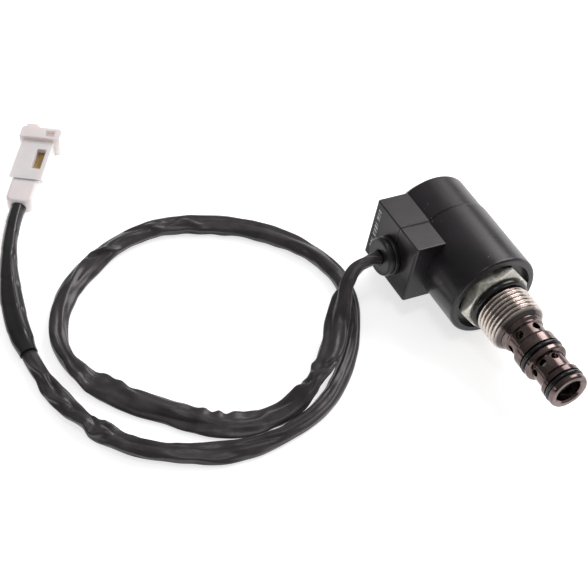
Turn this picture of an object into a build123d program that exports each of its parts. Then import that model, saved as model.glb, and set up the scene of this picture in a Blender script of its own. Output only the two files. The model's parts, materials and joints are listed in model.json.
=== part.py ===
"""Three-way solenoid cartridge valve with a flying lead.

The valve lies on its coil.  The origin is on the valve's axis, in the plane of the hex that
seats on the manifold.  +X runs along the axis towards the nose, +Z is up.  Millimetres.
"""
from build123d import *
import math
import os

INCH = 25.4

# ---- driving dimensions -------------------------------------------------------------------

# cartridge, as radii and as stations along +X from the hex seat
HEX_FLATS = 1.0 * INCH
HEX_TURN = 1.7               # degrees from +Y to a corner of the hex
HEX_BACK = -5.5
THREAD_R = 7 / 8 * INCH / 2  # 7/8-14 UNF
PITCH = INCH / 14
THREAD_START = 3.1
THREAD_END = 13.8
BODY_END = 16.4
BODY_END_R = 9.06
UNDERCUT_R = 9.55

NECK_1_R = 7.4               # between the thread and the first land
LAND_1_R = 8.6
NECK_2_R = 6.75              # between the two lands
LAND_2_R = 7.85
TIP = 47.95
PORT_3_X = 20.8
PORT_2_X = 35.4
SEAL_SECTION = 1.78
SEAL_1_X = 29.8
SEAL_2_X = 44.5
NOSE_BORE_R = 5.1
SPOOL_R = 4.72
SPOOL_BORE_R = 4.76
STROKE = 2.5

# guide tube and what runs in it
TUBE_R = 6.35
TUBE_BORE_R = 5.55
TUBE_END = -44.0
POLE_FACE = -36.5
STUD_R = 5.9
STUD_END = -61.0

# coil
COIL_R = 18.4
SEAM_STEP = 0.4
COIL_FRONT = -3.0
COIL_LENGTH = 49.9
SEAM_X = -35.5
BLOCK_FACE = 25.4            # from the axis to the face that the lead leaves
BLOCK_HALF_HEIGHT = 13.25
BLOCK_BACK = -52.3
BLOCK_FRONT = -22.7
COIL_TILT = 11.3             # degrees that the block points up from the horizontal
COIL_BORE_R = 6.45
HEX_POCKET_R = 15.7

# lead
CORD_D = 7.5
GLAND_X = -37.3
GLAND_Z = -2.0
GLAND_R = 7.7
GLAND_OUT = 4.8

# connector
CONNECTOR_REAR = (-143.7, -135.9)
CONNECTOR_TURN = 143.0       # degrees from +X to the way the connector points
CONNECTOR_LENGTH = 40.2
CONNECTOR_WIDTH = 13.3
CONNECTOR_HEIGHT = 7.6

# ---- worked out from them -----------------------------------------------------------------

FIT = 0.04                   # radial clearance between pieces that stay together
COIL_BACK = COIL_FRONT - COIL_LENGTH
FLOOR = -COIL_R
CORD_Z = FLOOR + CORD_D / 2
SPIGOT_R = 8.2
SHELL_FRONT_WALL = HEX_BACK - 2.5
SHELL_BACK_WALL = COIL_BACK + 3.4
YOKE_R = 17.0
WASHER = 3.0


# ---- helpers ------------------------------------------------------------------------------

def turned(points):
    """Solid of revolution about the X axis from (x, radius) points."""
    return revolve(make_face(Polyline(*points, close=True)), Axis.X)


def tube(x0, x1, outer, inner):
    """Plain ring or tube on the X axis."""
    return turned([(x0, inner), (x0, outer), (x1, outer), (x1, inner)])


def rod(x0, x1, radius):
    """Plain round bar on the X axis."""
    return turned([(x0, 0), (x0, radius), (x1, radius), (x1, 0)])


def o_ring(x, inner, section):
    """Seal ring of round section."""
    centre = Location((x, inner + section / 2, 0))
    return revolve(centre * Circle(section / 2), Axis.X)


def radial_holes(x, count, radius, start, reach):
    """Round bars that stand out from the axis, to be cut as cross holes."""
    bars = []
    for i in range(count):
        bar = Cylinder(radius, reach, align=(Align.CENTER, Align.CENTER, Align.MIN))
        bars.append(Rot(start + i * 360 / count, 0, 0) * Pos(x, 0, 0) * bar)
    return bars


def box(x0, x1, y0, y1, z0, z1):
    """Block between two corners."""
    block = Box(x1 - x0, y1 - y0, z1 - z0, align=(Align.MIN, Align.MIN, Align.MIN))
    return Pos(x0, y0, z0) * block


def bar_y(x, z, y0, y1, radius):
    """Round bar along Y, in the coil's own frame."""
    bar = Cylinder(radius, y1 - y0, align=(Align.CENTER, Align.CENTER, Align.MIN))
    return Pos(x, y0, z) * Rot(-90, 0, 0) * bar


def on_coil(shape):
    """Turn a shape from the coil's own frame, with the block towards -Y, into its place."""
    return Rot(-COIL_TILT, 0, 0) * shape


# ---- cartridge ----------------------------------------------------------------------------

def thread_profile():
    """Crests and roots of the manifold thread, from its start to its end."""
    root = THREAD_R - 0.6134 * PITCH
    points = []
    x = THREAD_START
    while x + PITCH <= THREAD_END + 0.2:
        points += [(x, root), (x + 0.40 * PITCH, THREAD_R), (x + 0.55 * PITCH, THREAD_R)]
        x += PITCH
    return points + [(x, root), (x + 0.35, root + 0.35)]


def valve_body():
    """Hex with the manifold thread, bored for the guide tube and for the cage."""
    hexagon = RegularPolygon(HEX_FLATS / 2, 6, major_radius=False, rotation=HEX_TURN)
    head = extrude(Plane.YZ.offset(HEX_BACK) * hexagon, -HEX_BACK)
    corner = HEX_FLATS / math.sqrt(3)
    rim = HEX_FLATS / 2 - 0.2
    fall = (corner - rim) * math.tan(math.radians(30))
    head &= turned([
        (HEX_BACK, 0), (HEX_BACK, rim), (HEX_BACK + fall, corner),
        (-fall, corner), (0, rim), (0, 0),
    ])
    shank = turned(
        [(-1, 0), (-1, UNDERCUT_R), (THREAD_START - 0.3, UNDERCUT_R)]
        + thread_profile()
        + [(BODY_END, BODY_END_R), (BODY_END, 0)]
    )
    bore = rod(-2.5, BODY_END + 1, SPIGOT_R + FIT)
    tube_hole = rod(HEX_BACK - 1, 0, TUBE_R + FIT)
    return head + shank - bore - tube_hole


def cage():
    """Nose sleeve: two sealed lands, two rows of cross holes and an open tip."""
    groove = SEAL_SECTION * 0.68
    root_1 = LAND_1_R - 1.6
    root_2 = LAND_2_R - 1.62
    outline = [
        (1.0, 0), (1.0, SPIGOT_R), (BODY_END, SPIGOT_R), (BODY_END, 8.85),
        (16.9, 8.85), (18.0, 8.15), (18.5, 8.15), (18.9, NECK_1_R),
        (23.3, NECK_1_R), (24.4, LAND_1_R - 0.1), (24.9, LAND_1_R),
        (SEAL_1_X - groove, LAND_1_R), (SEAL_1_X - groove, root_1),
        (SEAL_1_X + groove, root_1), (SEAL_1_X + groove, LAND_1_R - 0.3),
        (31.6, LAND_1_R), (32.9, LAND_1_R - 0.05), (33.4, LAND_1_R - 0.5), (33.7, NECK_2_R),
        (40.0, NECK_2_R), (40.8, LAND_2_R - 0.55), (41.4, LAND_2_R),
        (SEAL_2_X - groove, LAND_2_R), (SEAL_2_X - groove, root_2),
        (SEAL_2_X + groove, root_2), (SEAL_2_X + groove, LAND_2_R - 0.2),
        (46.4, LAND_2_R), (47.3, LAND_2_R - 0.1), (TIP, LAND_2_R - 0.5),
        (TIP, NOSE_BORE_R + 0.7), (TIP - 0.7, NOSE_BORE_R),
        (42.7, NOSE_BORE_R), (42.7, 5.5), (41.5, 5.5), (41.5, 0),
    ]
    body = turned(outline) - rod(0, 42, SPOOL_BORE_R)
    for hole in radial_holes(PORT_3_X, 6, 1.6, 38, 10):
        body -= hole
    for hole in radial_holes(PORT_2_X, 8, 1.4, -9, 10):
        body -= hole
    return body


def guide_tube():
    """Thin non-magnetic tube that the coil slides over, flanged at the hex end."""
    return tube(TUBE_END, -2.5, TUBE_R, TUBE_BORE_R) + tube(-2.5, 1.0, SPIGOT_R, TUBE_BORE_R)


def pole_piece():
    """Fixed iron core that closes the tube, with the stud for the coil nut."""
    core = turned([
        (POLE_FACE, 0), (POLE_FACE, TUBE_BORE_R - FIT), (TUBE_END, TUBE_BORE_R - FIT),
        (TUBE_END, TUBE_R), (COIL_BACK - 0.2, TUBE_R), (COIL_BACK - 0.2, STUD_R),
        (STUD_END + 0.8, STUD_R), (STUD_END, STUD_R - 0.8), (STUD_END, 0),
    ])
    return core - rod(POLE_FACE - 6, POLE_FACE + 1, 2.6)


def retaining_ring():
    """Split ring in the nose bore that stops the spool."""
    ring = tube(41.6, 42.6, 5.45, 3.9)
    return ring - box(41, 43, -1.4, 1.4, 3, 7)


def armature():
    """Moving iron core with flats for the oil to pass."""
    body = turned([
        (POLE_FACE + STROKE, 0), (POLE_FACE + STROKE, 4.9), (POLE_FACE + STROKE + 0.6, 5.47),
        (-8.1, 5.47), (-7.5, 4.9), (-7.5, 0),
    ])
    body -= rod(POLE_FACE + STROKE - 1, -30.0, 2.6)
    body -= rod(-14, -7, 1.55)
    return body - box(-40, 0, 5.0, 7, -6, 6) - box(-40, 0, -7, -5.0, -6, 6)


def link_pin():
    """Pin from the armature to the spool."""
    return rod(-13.9, 7.8, 1.5)


def spool():
    """Hollow spool: joins ports 2 and 3 at rest, and ports 1 and 2 when it is pulled back."""
    front = 41.5 - 0.1
    outline = [
        (2.5, 0), (2.5, SPOOL_R - 0.4), (2.9, SPOOL_R), (18.6, SPOOL_R), (19.2, 3.4),
        (PORT_2_X - 1.2, 3.4), (PORT_2_X - 0.6, SPOOL_R), (front - 0.4, SPOOL_R), (front, SPOOL_R - 0.4), (front, 0),
    ]
    body = turned(outline) - rod(PORT_2_X - 0.2, front + 1, 2.4) - rod(2, 8, 1.55)
    for x in (7.0, 10.0, 13.0):
        body -= tube(x, x + 0.5, SPOOL_R + 1, SPOOL_R - 0.35)
    for hole in radial_holes(PORT_2_X + STROKE, 4, 1.2, 45, 8):
        body -= hole
    return body


def return_spring():
    """Coil spring between the pole piece and the armature."""
    wire = 0.35
    x0 = POLE_FACE - 6 + wire + 0.05
    x1 = -30.0 - wire - 0.05
    turns = 6.5
    path = Rot(0, 90, 0) * Helix(pitch=(x1 - x0) / turns, height=x1 - x0, radius=2.0)
    path = Pos(x0, 0, 0) * path
    section = Plane(origin=path @ 0, z_dir=path % 0) * Circle(wire)
    return sweep(section, path=path, is_frenet=True)


def coil_nut():
    """Hex nut that clamps the coil."""
    flats = 3 / 4 * INCH
    hexagon = RegularPolygon(flats / 2, 6, major_radius=False, rotation=20)
    start = COIL_BACK - 0.25
    end = start - 5.6
    head = extrude(Plane.YZ.offset(end) * hexagon, start - end)
    corner = flats / math.sqrt(3)
    head &= turned([
        (end, 0), (end, flats / 2 - 0.1), (end + 0.9, corner), (start - 0.9, corner),
        (start, flats / 2 - 0.1), (start, 0),
    ])
    return head - rod(end - 1, start + 1, STUD_R + 0.06)


# ---- coil, in its own frame with the block towards -Y --------------------------------------

def shell_outside(radius):
    """Outer shape of the moulding: a cylinder with the lead block on its side."""
    barrel = rod(COIL_BACK, COIL_FRONT, radius)
    barrel = fillet(barrel.edges().filter_by(GeomType.CIRCLE), 1.2)
    block = box(
        BLOCK_BACK, BLOCK_FRONT, -BLOCK_FACE, -8, -BLOCK_HALF_HEIGHT, BLOCK_HALF_HEIGHT
    )
    upright = block.edges().filter_by(Axis.Z).group_by(Axis.Y)[0]
    block = fillet(upright, 1.0)
    long_edges = block.edges().filter_by(Axis.X).group_by(Axis.Y)[0]
    return barrel + fillet(long_edges, 0.5)


def shell_hollow():
    """Everything that the moulding is hollow for."""
    inside = rod(SHELL_BACK_WALL, SHELL_FRONT_WALL, YOKE_R + FIT)
    inside += rod(COIL_BACK - 1, COIL_FRONT + 1, COIL_BORE_R)
    inside += rod(HEX_BACK, COIL_FRONT + 1, HEX_POCKET_R)
    inside += rod(HEX_BACK - 1.7, HEX_BACK, COIL_BORE_R + 1.75)
    inside += rod(COIL_BACK - 1, COIL_BACK + 1.7, COIL_BORE_R + 1.75)
    inside += box(-46.5, -28.0, -23.4, -15.5, -8.8, 6.0)
    return inside + bar_y(GLAND_X, GLAND_Z, -BLOCK_FACE - 1, -20, 5.0)


def coil_shells():
    """Front and rear mouldings, parted at the seam."""
    gap = 0.06
    reach = 40
    ahead = box(SEAM_X + gap, COIL_FRONT + 1, -reach, reach, -reach, reach)
    behind = box(COIL_BACK - 1, SEAM_X - gap, -reach, reach, -reach, reach)
    hollow = shell_hollow()
    front = (shell_outside(COIL_R) & ahead) - hollow
    rear = (shell_outside(COIL_R - SEAM_STEP) & behind) - hollow
    return front, rear


def yoke():
    """Steel sleeve round the winding, slotted for the leads."""
    sleeve = tube(SHELL_BACK_WALL, SHELL_FRONT_WALL, YOKE_R, YOKE_R - 1.2)
    return sleeve - box(-43, -31, -20, -10, -4.5, 2.5)


def flux_washer(x0):
    """Steel end disc that carries the flux to the tube."""
    return tube(x0, x0 + WASHER, YOKE_R - 1.2 - FIT, COIL_BORE_R + 0.1)


BOBBIN_BACK = SHELL_BACK_WALL + WASHER
BOBBIN_FRONT = SHELL_FRONT_WALL - WASHER
FLANGE = 1.2
HUB_R = 7.5
WINDING_R = 14.3


def bobbin():
    """Flanged plastic former."""
    return turned([
        (BOBBIN_BACK, COIL_BORE_R), (BOBBIN_BACK, 15.5), (BOBBIN_BACK + FLANGE, 15.5),
        (BOBBIN_BACK + FLANGE, HUB_R), (BOBBIN_FRONT - FLANGE, HUB_R),
        (BOBBIN_FRONT - FLANGE, 15.5), (BOBBIN_FRONT, 15.5), (BOBBIN_FRONT, COIL_BORE_R),
    ])


def winding():
    """Copper winding as one ring."""
    return tube(BOBBIN_BACK + FLANGE, BOBBIN_FRONT - FLANGE, WINDING_R, HUB_R + FIT)


def winding_tape():
    """Insulating tape over the winding."""
    inner = WINDING_R + FIT
    return tube(BOBBIN_BACK + FLANGE, BOBBIN_FRONT - FLANGE, inner + 0.4, inner)


def lead_wire(side):
    """Insulated lead from the gland's face to its splice."""
    return bar_y(GLAND_X + side * 1.5, GLAND_Z, -BLOCK_FACE - GLAND_OUT, -21.0, 1.0)


def splice(side):
    """Crimped splice that joins a lead to the winding's end."""
    return bar_y(GLAND_X + side * 1.5, GLAND_Z, -21.0, -16.4, 1.25)


def gland():
    """Rubber grommet with two thick rings, clamped in the block's face."""
    face = -BLOCK_FACE
    out = face - GLAND_OUT
    profile = [
        (-22.0, 0), (-22.0, 6.2), (-23.4, 6.2), (-23.4, 4.95), (face, 4.95), (face, GLAND_R),
        (face - 1.6, GLAND_R), (face - 2.0, GLAND_R - 0.5), (face - 2.2, GLAND_R - 1.3),
        (face - 2.7, GLAND_R - 1.3), (face - 2.9, GLAND_R - 0.5), (face - 3.3, GLAND_R),
        (face - 4.1, GLAND_R - 0.1), (out, GLAND_R - 0.9), (out, 0),
    ]
    body = turned([(-y, r) for y, r in profile])
    body = Rot(0, 0, -90) * body
    body = Pos(GLAND_X, 0, GLAND_Z) * body
    for side in (-1, 1):
        body -= bar_y(GLAND_X + side * 1.5, GLAND_Z, out - 1, -21, 1.0 + FIT)
    return body


# ---- lead and connector -------------------------------------------------------------------

def before_gland(distance):
    """Point on the gland's axis, at a distance from its outer face, in the valve's frame."""
    tilt = math.radians(COIL_TILT)
    y = -BLOCK_FACE - GLAND_OUT - distance
    z = GLAND_Z
    return (
        GLAND_X,
        y * math.cos(tilt) + z * math.sin(tilt),
        -y * math.sin(tilt) + z * math.cos(tilt),
    )


def behind_connector(distance):
    """Point on the connector's axis, at a distance behind its rear face."""
    turn = math.radians(CONNECTOR_TURN)
    x, y = CONNECTOR_REAR
    return (x - distance * math.cos(turn), y - distance * math.sin(turn), CORD_Z)


# the lead's route between its two ends, chosen by hand: it drops over its own second turn,
# leans on that turn, then lies on the surface in two loose turns
ROUTE = [
    (-33.5, -46.5, 0.5),
    (-27.0, -54.5, -7.5),
    (-17.5, -61.7, -9.0),
    (-10.0, -71.0, -9.6),
    (-5.0, -82.7, -13.0),
    (-4.3, -96.0, CORD_Z),
    (-8.0, -109.5, CORD_Z),
    (-17.0, -121.0, CORD_Z),
    (-30.0, -133.0, CORD_Z),
    (-44.0, -142.3, CORD_Z),
    (-59.5, -150.2, CORD_Z),
    (-76.0, -148.5, CORD_Z),
    (-91.0, -138.8, CORD_Z),
    (-101.5, -124.5, CORD_Z),
    (-107.5, -108.0, CORD_Z),
    (-108.3, -91.5, CORD_Z),
    (-101.5, -74.5, CORD_Z),
    (-89.0, -57.5, CORD_Z),
    (-73.0, -45.5, CORD_Z),
    (-56.0, -39.0, CORD_Z),
    (-38.0, -41.0, CORD_Z),
    (-20.5, -50.0, CORD_Z),
    (-6.5, -62.5, CORD_Z),
    (2.8, -76.0, CORD_Z),
    (6.3, -91.0, CORD_Z),
    (6.3, -105.0, CORD_Z),
    (1.5, -119.5, CORD_Z),
    (-6.0, -134.0, CORD_Z),
    (-17.5, -147.0, CORD_Z),
    (-34.0, -155.5, CORD_Z),
    (-53.0, -160.5, CORD_Z),
    (-73.0, -161.5, CORD_Z),
    (-95.0, -158.5, CORD_Z),
    (-117.5, -151.2, CORD_Z),
]
GLAND_RUN = 8.5              # straight run out of the gland
CONNECTOR_RUN = 11.0         # straight run into the connector


def corner_radii(points):
    """Radius of each arc: 0.45 of the shorter run over the tangent of half the turn."""
    radii = []
    for before, here, after in zip(points, points[1:], points[2:]):
        run_in = Vector(*here) - Vector(*before)
        run_out = Vector(*after) - Vector(*here)
        turn = math.radians(run_in.get_angle(run_out))
        shorter = min(run_in.length, run_out.length)
        radii.append(0.45 * shorter / math.tan(turn / 2))
    return radii


def cable_sleeve():
    """The lead's sleeve as a plain round tube on straight runs and tangent arcs."""
    points = [before_gland(0), before_gland(GLAND_RUN)]
    points += ROUTE
    points += [behind_connector(CONNECTOR_RUN), behind_connector(0)]
    radii = corner_radii(points)
    path = FilletPolyline(*points, radius=radii)
    section = Plane(origin=path @ 0, z_dir=path % 0) * Circle(CORD_D / 2)
    solid = sweep(section, path=path)
    area = math.pi * CORD_D ** 2 / 4
    print("lead length", round(path.length, 1), "volume ratio", solid.volume / (area * path.length))
    print("lead radii", [round(r, 1) for r in radii])
    return solid


def on_connector(shape):
    """From the connector's own frame, rear centre on the surface and +X forwards."""
    place = Pos(CONNECTOR_REAR[0], CONNECTOR_REAR[1], FLOOR)
    return place * Rot(0, 0, CONNECTOR_TURN) * shape


HOLDER_LENGTH = 12.0
HOLDER_HALF = 5.4
REAR_SLANT = 6.5
HEAD_START = 34.3
HEAD_HEIGHT = 9.4
CAVITY_Y = 2.9
CAVITY_HALF = 1.6


def connector_housing():
    """Nylon housing with two terminal cavities, a sight window and a wider lock head."""
    half = CONNECTOR_WIDTH / 2
    side = Polyline(
        (HOLDER_LENGTH + REAR_SLANT, 0), (HEAD_START + 1, 0), (HEAD_START + 1, CONNECTOR_HEIGHT),
        (HOLDER_LENGTH, CONNECTOR_HEIGHT), close=True,
    )
    body = extrude(Plane.XZ.offset(-half) * make_face(side), CONNECTOR_WIDTH)
    head = box(HEAD_START, CONNECTOR_LENGTH, -9.0, 7.9, 0, HEAD_HEIGHT)
    head = fillet(head.edges().filter_by(Axis.Z).group_by(Axis.X)[-1], 1.6)
    collar = box(CONNECTOR_LENGTH - 1, CONNECTOR_LENGTH + 2, 1.2, 6.4, 1.0, HEAD_HEIGHT - 0.4)
    body = body + head + fillet(collar.edges().filter_by(Axis.Z), 0.9)
    body -= box(35.2, 38.6, -6.3, -2.7, HEAD_HEIGHT - 1.8, HEAD_HEIGHT + 1)
    middle = CONNECTOR_HEIGHT / 2
    for y in (-CAVITY_Y, CAVITY_Y):
        body -= box(
            HOLDER_LENGTH - 1, CONNECTOR_LENGTH + 3, y - CAVITY_HALF, y + CAVITY_HALF,
            middle - CAVITY_HALF, middle + CAVITY_HALF,
        )
    body -= box(18.3, 29.4, -CAVITY_Y - 1.9, -CAVITY_Y + 1.9, middle, CONNECTOR_HEIGHT + 1)
    return body


def connector_holder():
    """Rear holder that locks the terminals and takes the lead. Its front follows the housing's slanted end."""
    low, high = 0.2, CONNECTOR_HEIGHT - 0.6
    slope = REAR_SLANT / CONNECTOR_HEIGHT
    side = Polyline(
        (0, low), (HOLDER_LENGTH + slope * (CONNECTOR_HEIGHT - low) - 0.1, low),
        (HOLDER_LENGTH + slope * (CONNECTOR_HEIGHT - high) - 0.1, high), (0, high), close=True,
    )
    body = extrude(Plane.XZ.offset(-HOLDER_HALF) * make_face(side), 2 * HOLDER_HALF)
    body = fillet(body.edges().filter_by(Axis.Z).group_by(Axis.X)[0], 3.0)
    body = fillet(body.edges().filter_by(Axis.X).group_by(Axis.Z)[-1], 1.2)
    middle = CONNECTOR_HEIGHT / 2
    for y in (-CAVITY_Y, CAVITY_Y):
        body -= box(
            HOLDER_LENGTH, HOLDER_LENGTH + REAR_SLANT, y - CAVITY_HALF, y + CAVITY_HALF,
            middle - CAVITY_HALF, middle + CAVITY_HALF,
        )
    return body


def terminal(y):
    """Box terminal in its cavity."""
    middle = CONNECTOR_HEIGHT / 2
    half = CAVITY_HALF - 0.15
    body = box(HOLDER_LENGTH, 33.0, y - half, y + half, middle - half, middle + half)
    return body - box(15.0, 34.0, y - half + 0.35, y + half - 0.35, middle - half + 0.35, middle + half - 0.35)


# ---- every piece --------------------------------------------------------------------------

def seal_inner(land, depth):
    """Inner radius of a seal that sits on its groove's root."""
    return land - depth + FIT


front_shell, rear_shell = coil_shells()
pieces = {
    "valve_body": valve_body(),
    "thread_seal": o_ring(1.35, UNDERCUT_R + FIT, 2.46),
    "cage": cage(),
    "upper_nose_seal": o_ring(SEAL_1_X, seal_inner(LAND_1_R, 1.6), SEAL_SECTION),
    "lower_nose_seal": o_ring(SEAL_2_X, seal_inner(LAND_2_R, 1.62), SEAL_SECTION),
    "nose_retaining_ring": retaining_ring(),
    "guide_tube": guide_tube(),
    "pole_piece": pole_piece(),
    "front_coil_seal": o_ring(HEX_BACK - 0.85, TUBE_R + FIT, 1.6),
    "rear_coil_seal": o_ring(COIL_BACK + 0.8, TUBE_R + FIT, 1.6),
    "armature": armature(),
    "link_pin": link_pin(),
    "spool": spool(),
    "return_spring": return_spring(),
    "coil_nut": coil_nut(),
    "front_coil_shell": on_coil(front_shell),
    "rear_coil_shell": on_coil(rear_shell),
    "yoke_sleeve": on_coil(yoke()),
    "front_flux_washer": on_coil(flux_washer(BOBBIN_FRONT)),
    "rear_flux_washer": on_coil(flux_washer(SHELL_BACK_WALL)),
    "bobbin": on_coil(bobbin()),
    "winding": on_coil(winding()),
    "winding_tape": on_coil(winding_tape()),
    "lead_splice_1": on_coil(splice(-1)),
    "lead_splice_2": on_coil(splice(1)),
    "lead_wire_1": on_coil(lead_wire(-1)),
    "lead_wire_2": on_coil(lead_wire(1)),
    "cable_gland": on_coil(gland()),
    "cable_sleeve": cable_sleeve(),
    "connector_housing": on_connector(connector_housing()),
    "connector_holder": on_connector(connector_holder()),
    "terminal_1": on_connector(terminal(-CAVITY_Y)),
    "terminal_2": on_connector(terminal(CAVITY_Y)),
}

os.makedirs("parts", exist_ok=True)
for name, shape in pieces.items():
    export_step(shape, f"parts/{name}.step")
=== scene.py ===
import json
import math

import bmesh
import bpy
from mathutils import Matrix, Vector, noise


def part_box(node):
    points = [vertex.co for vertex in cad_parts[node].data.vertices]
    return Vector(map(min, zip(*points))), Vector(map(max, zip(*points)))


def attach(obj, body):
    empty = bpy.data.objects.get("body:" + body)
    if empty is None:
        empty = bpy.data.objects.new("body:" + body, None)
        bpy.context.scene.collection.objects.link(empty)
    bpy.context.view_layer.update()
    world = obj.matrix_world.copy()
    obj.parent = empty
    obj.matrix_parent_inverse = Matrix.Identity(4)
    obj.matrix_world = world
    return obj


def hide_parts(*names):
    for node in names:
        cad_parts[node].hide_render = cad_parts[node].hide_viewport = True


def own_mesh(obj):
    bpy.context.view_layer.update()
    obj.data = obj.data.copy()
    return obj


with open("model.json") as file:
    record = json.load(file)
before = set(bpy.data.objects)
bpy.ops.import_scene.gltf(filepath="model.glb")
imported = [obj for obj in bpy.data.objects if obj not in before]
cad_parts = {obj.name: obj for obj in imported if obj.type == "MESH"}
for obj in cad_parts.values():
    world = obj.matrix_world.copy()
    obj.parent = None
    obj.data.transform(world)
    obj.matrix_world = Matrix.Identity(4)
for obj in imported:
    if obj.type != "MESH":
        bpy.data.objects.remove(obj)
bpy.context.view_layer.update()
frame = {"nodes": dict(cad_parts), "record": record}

MM = 0.001
NODES = frame["nodes"]

# ---- sizes read from the frame ---------------------------------------------------------------

FRONT_SHELL_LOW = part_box("front_coil_shell")[0]
SEAM_X = FRONT_SHELL_LOW[0]                 # where the coil's two halves meet
FLOOR_Z = FRONT_SHELL_LOW[2]                # the coil lies on the surface
COIL_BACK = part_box("rear_coil_shell")[0][0]

# ---- sizes of the object ---------------------------------------------------------------------

COIL_TILT = math.radians(11.3)              # the block points up by this much
INCH = 25.4                                 # in millimetres, as are the sizes of the pieces below


# ---- mesh helpers ----------------------------------------------------------------------------

def new_object(name, vertices, faces, sharp_angle=40):
    """Mesh object with smooth faces and sharp edges above an angle in degrees."""
    mesh = bpy.data.meshes.new(name)
    mesh.from_pydata([tuple(v) for v in vertices], [], faces)
    mesh.validate()
    mesh.shade_smooth()
    mesh.set_sharp_from_angle(angle=math.radians(sharp_angle))
    made = bpy.data.objects.new(name, mesh)
    bpy.context.scene.collection.objects.link(made)
    return made


def skin_rings(name, rings, closed_path=False, caps=False, sharp_angle=40):
    """Mesh through rings of equally many points. A closed path joins the last ring to the first."""
    count = len(rings[0])
    vertices = [point for ring in rings for point in ring]
    faces = []
    last = len(rings) if closed_path else len(rings) - 1
    for i in range(last):
        here = i * count
        after = ((i + 1) % len(rings)) * count
        for j in range(count):
            k = (j + 1) % count
            faces.append((here + j, here + k, after + k, after + j))
    if caps:
        faces.append(tuple(reversed(range(count))))
        faces.append(tuple(range(len(vertices) - count, len(vertices))))
    made = new_object(name, vertices, faces, sharp_angle)
    face_outwards(made)
    return made


def face_outwards(made):
    """Recalculate a closed mesh's normals to point outwards."""
    work = bmesh.new()
    work.from_mesh(made.data)
    bmesh.ops.recalc_face_normals(work, faces=work.faces)
    work.to_mesh(made.data)
    work.free()


def rounded(corners, radii, steps):
    """Closed outline of (x, r) points with each corner rounded by its radius."""
    points = []
    count = len(corners)
    for i, (corner, radius) in enumerate(zip(corners, radii)):
        here = Vector(corner)
        to_before = Vector(corners[i - 1]) - here
        to_after = Vector(corners[(i + 1) % count]) - here
        if radius <= 0:
            points.append(tuple(here))
            continue
        cut = min(radius, 0.45 * to_before.length, 0.45 * to_after.length)
        start = here + to_before.normalized() * cut
        end = here + to_after.normalized() * cut
        for s in range(steps + 1):
            t = s / steps
            bend = start.lerp(here, t).lerp(here.lerp(end, t), t)
            points.append(tuple(bend))
    return points


def divided(points, longest):
    """The same closed outline with no side longer than a length."""
    out = []
    for i, point in enumerate(points):
        here = Vector(point)
        after = Vector(points[(i + 1) % len(points)])
        parts = max(1, math.ceil((after - here).length / longest))
        for s in range(parts):
            out.append(tuple(here.lerp(after, s / parts)))
    return out


def angles(count):
    """Equal steps round a full turn, in radians."""
    return [2 * math.pi * j / count for j in range(count)]


def turned(name, outline, segments, shape, sharp_angle):
    """Lathe mesh about the X axis from a closed outline of (x, r) in millimetres.

    shape(x, angle, r) gives the radius at each angle.
    """
    rings = []
    for x, r in outline:
        ring = []
        for angle in angles(segments):
            radius = shape(x, angle, r)
            ring.append(Vector((x, radius * math.cos(angle), radius * math.sin(angle))) * MM)
        rings.append(ring)
    return skin_rings(name, rings, closed_path=True, sharp_angle=sharp_angle)


def bevelled(made, width):
    """Bevel modifier in metres on the sharp edges."""
    bevel = made.modifiers.new("bevel", "BEVEL")
    bevel.width = width
    bevel.segments = 3
    bevel.limit_method = "ANGLE"
    bevel.angle_limit = math.radians(35)
    bevel.harden_normals = True


def place(made, matrix):
    """Move a new piece's vertices, so that its object stays at the origin."""
    made.data.transform(matrix)
    return made


def use(made, material, body, slot, *nodes):
    """Give a piece its material and body, and hide the CAD nodes that it stands for. The slot is not used.
    """
    made.data.materials.clear()
    made.data.materials.append(material)
    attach(made, body)
    if nodes:
        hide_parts(*nodes)
    return made


# ---- material helpers ------------------------------------------------------------------------

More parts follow.
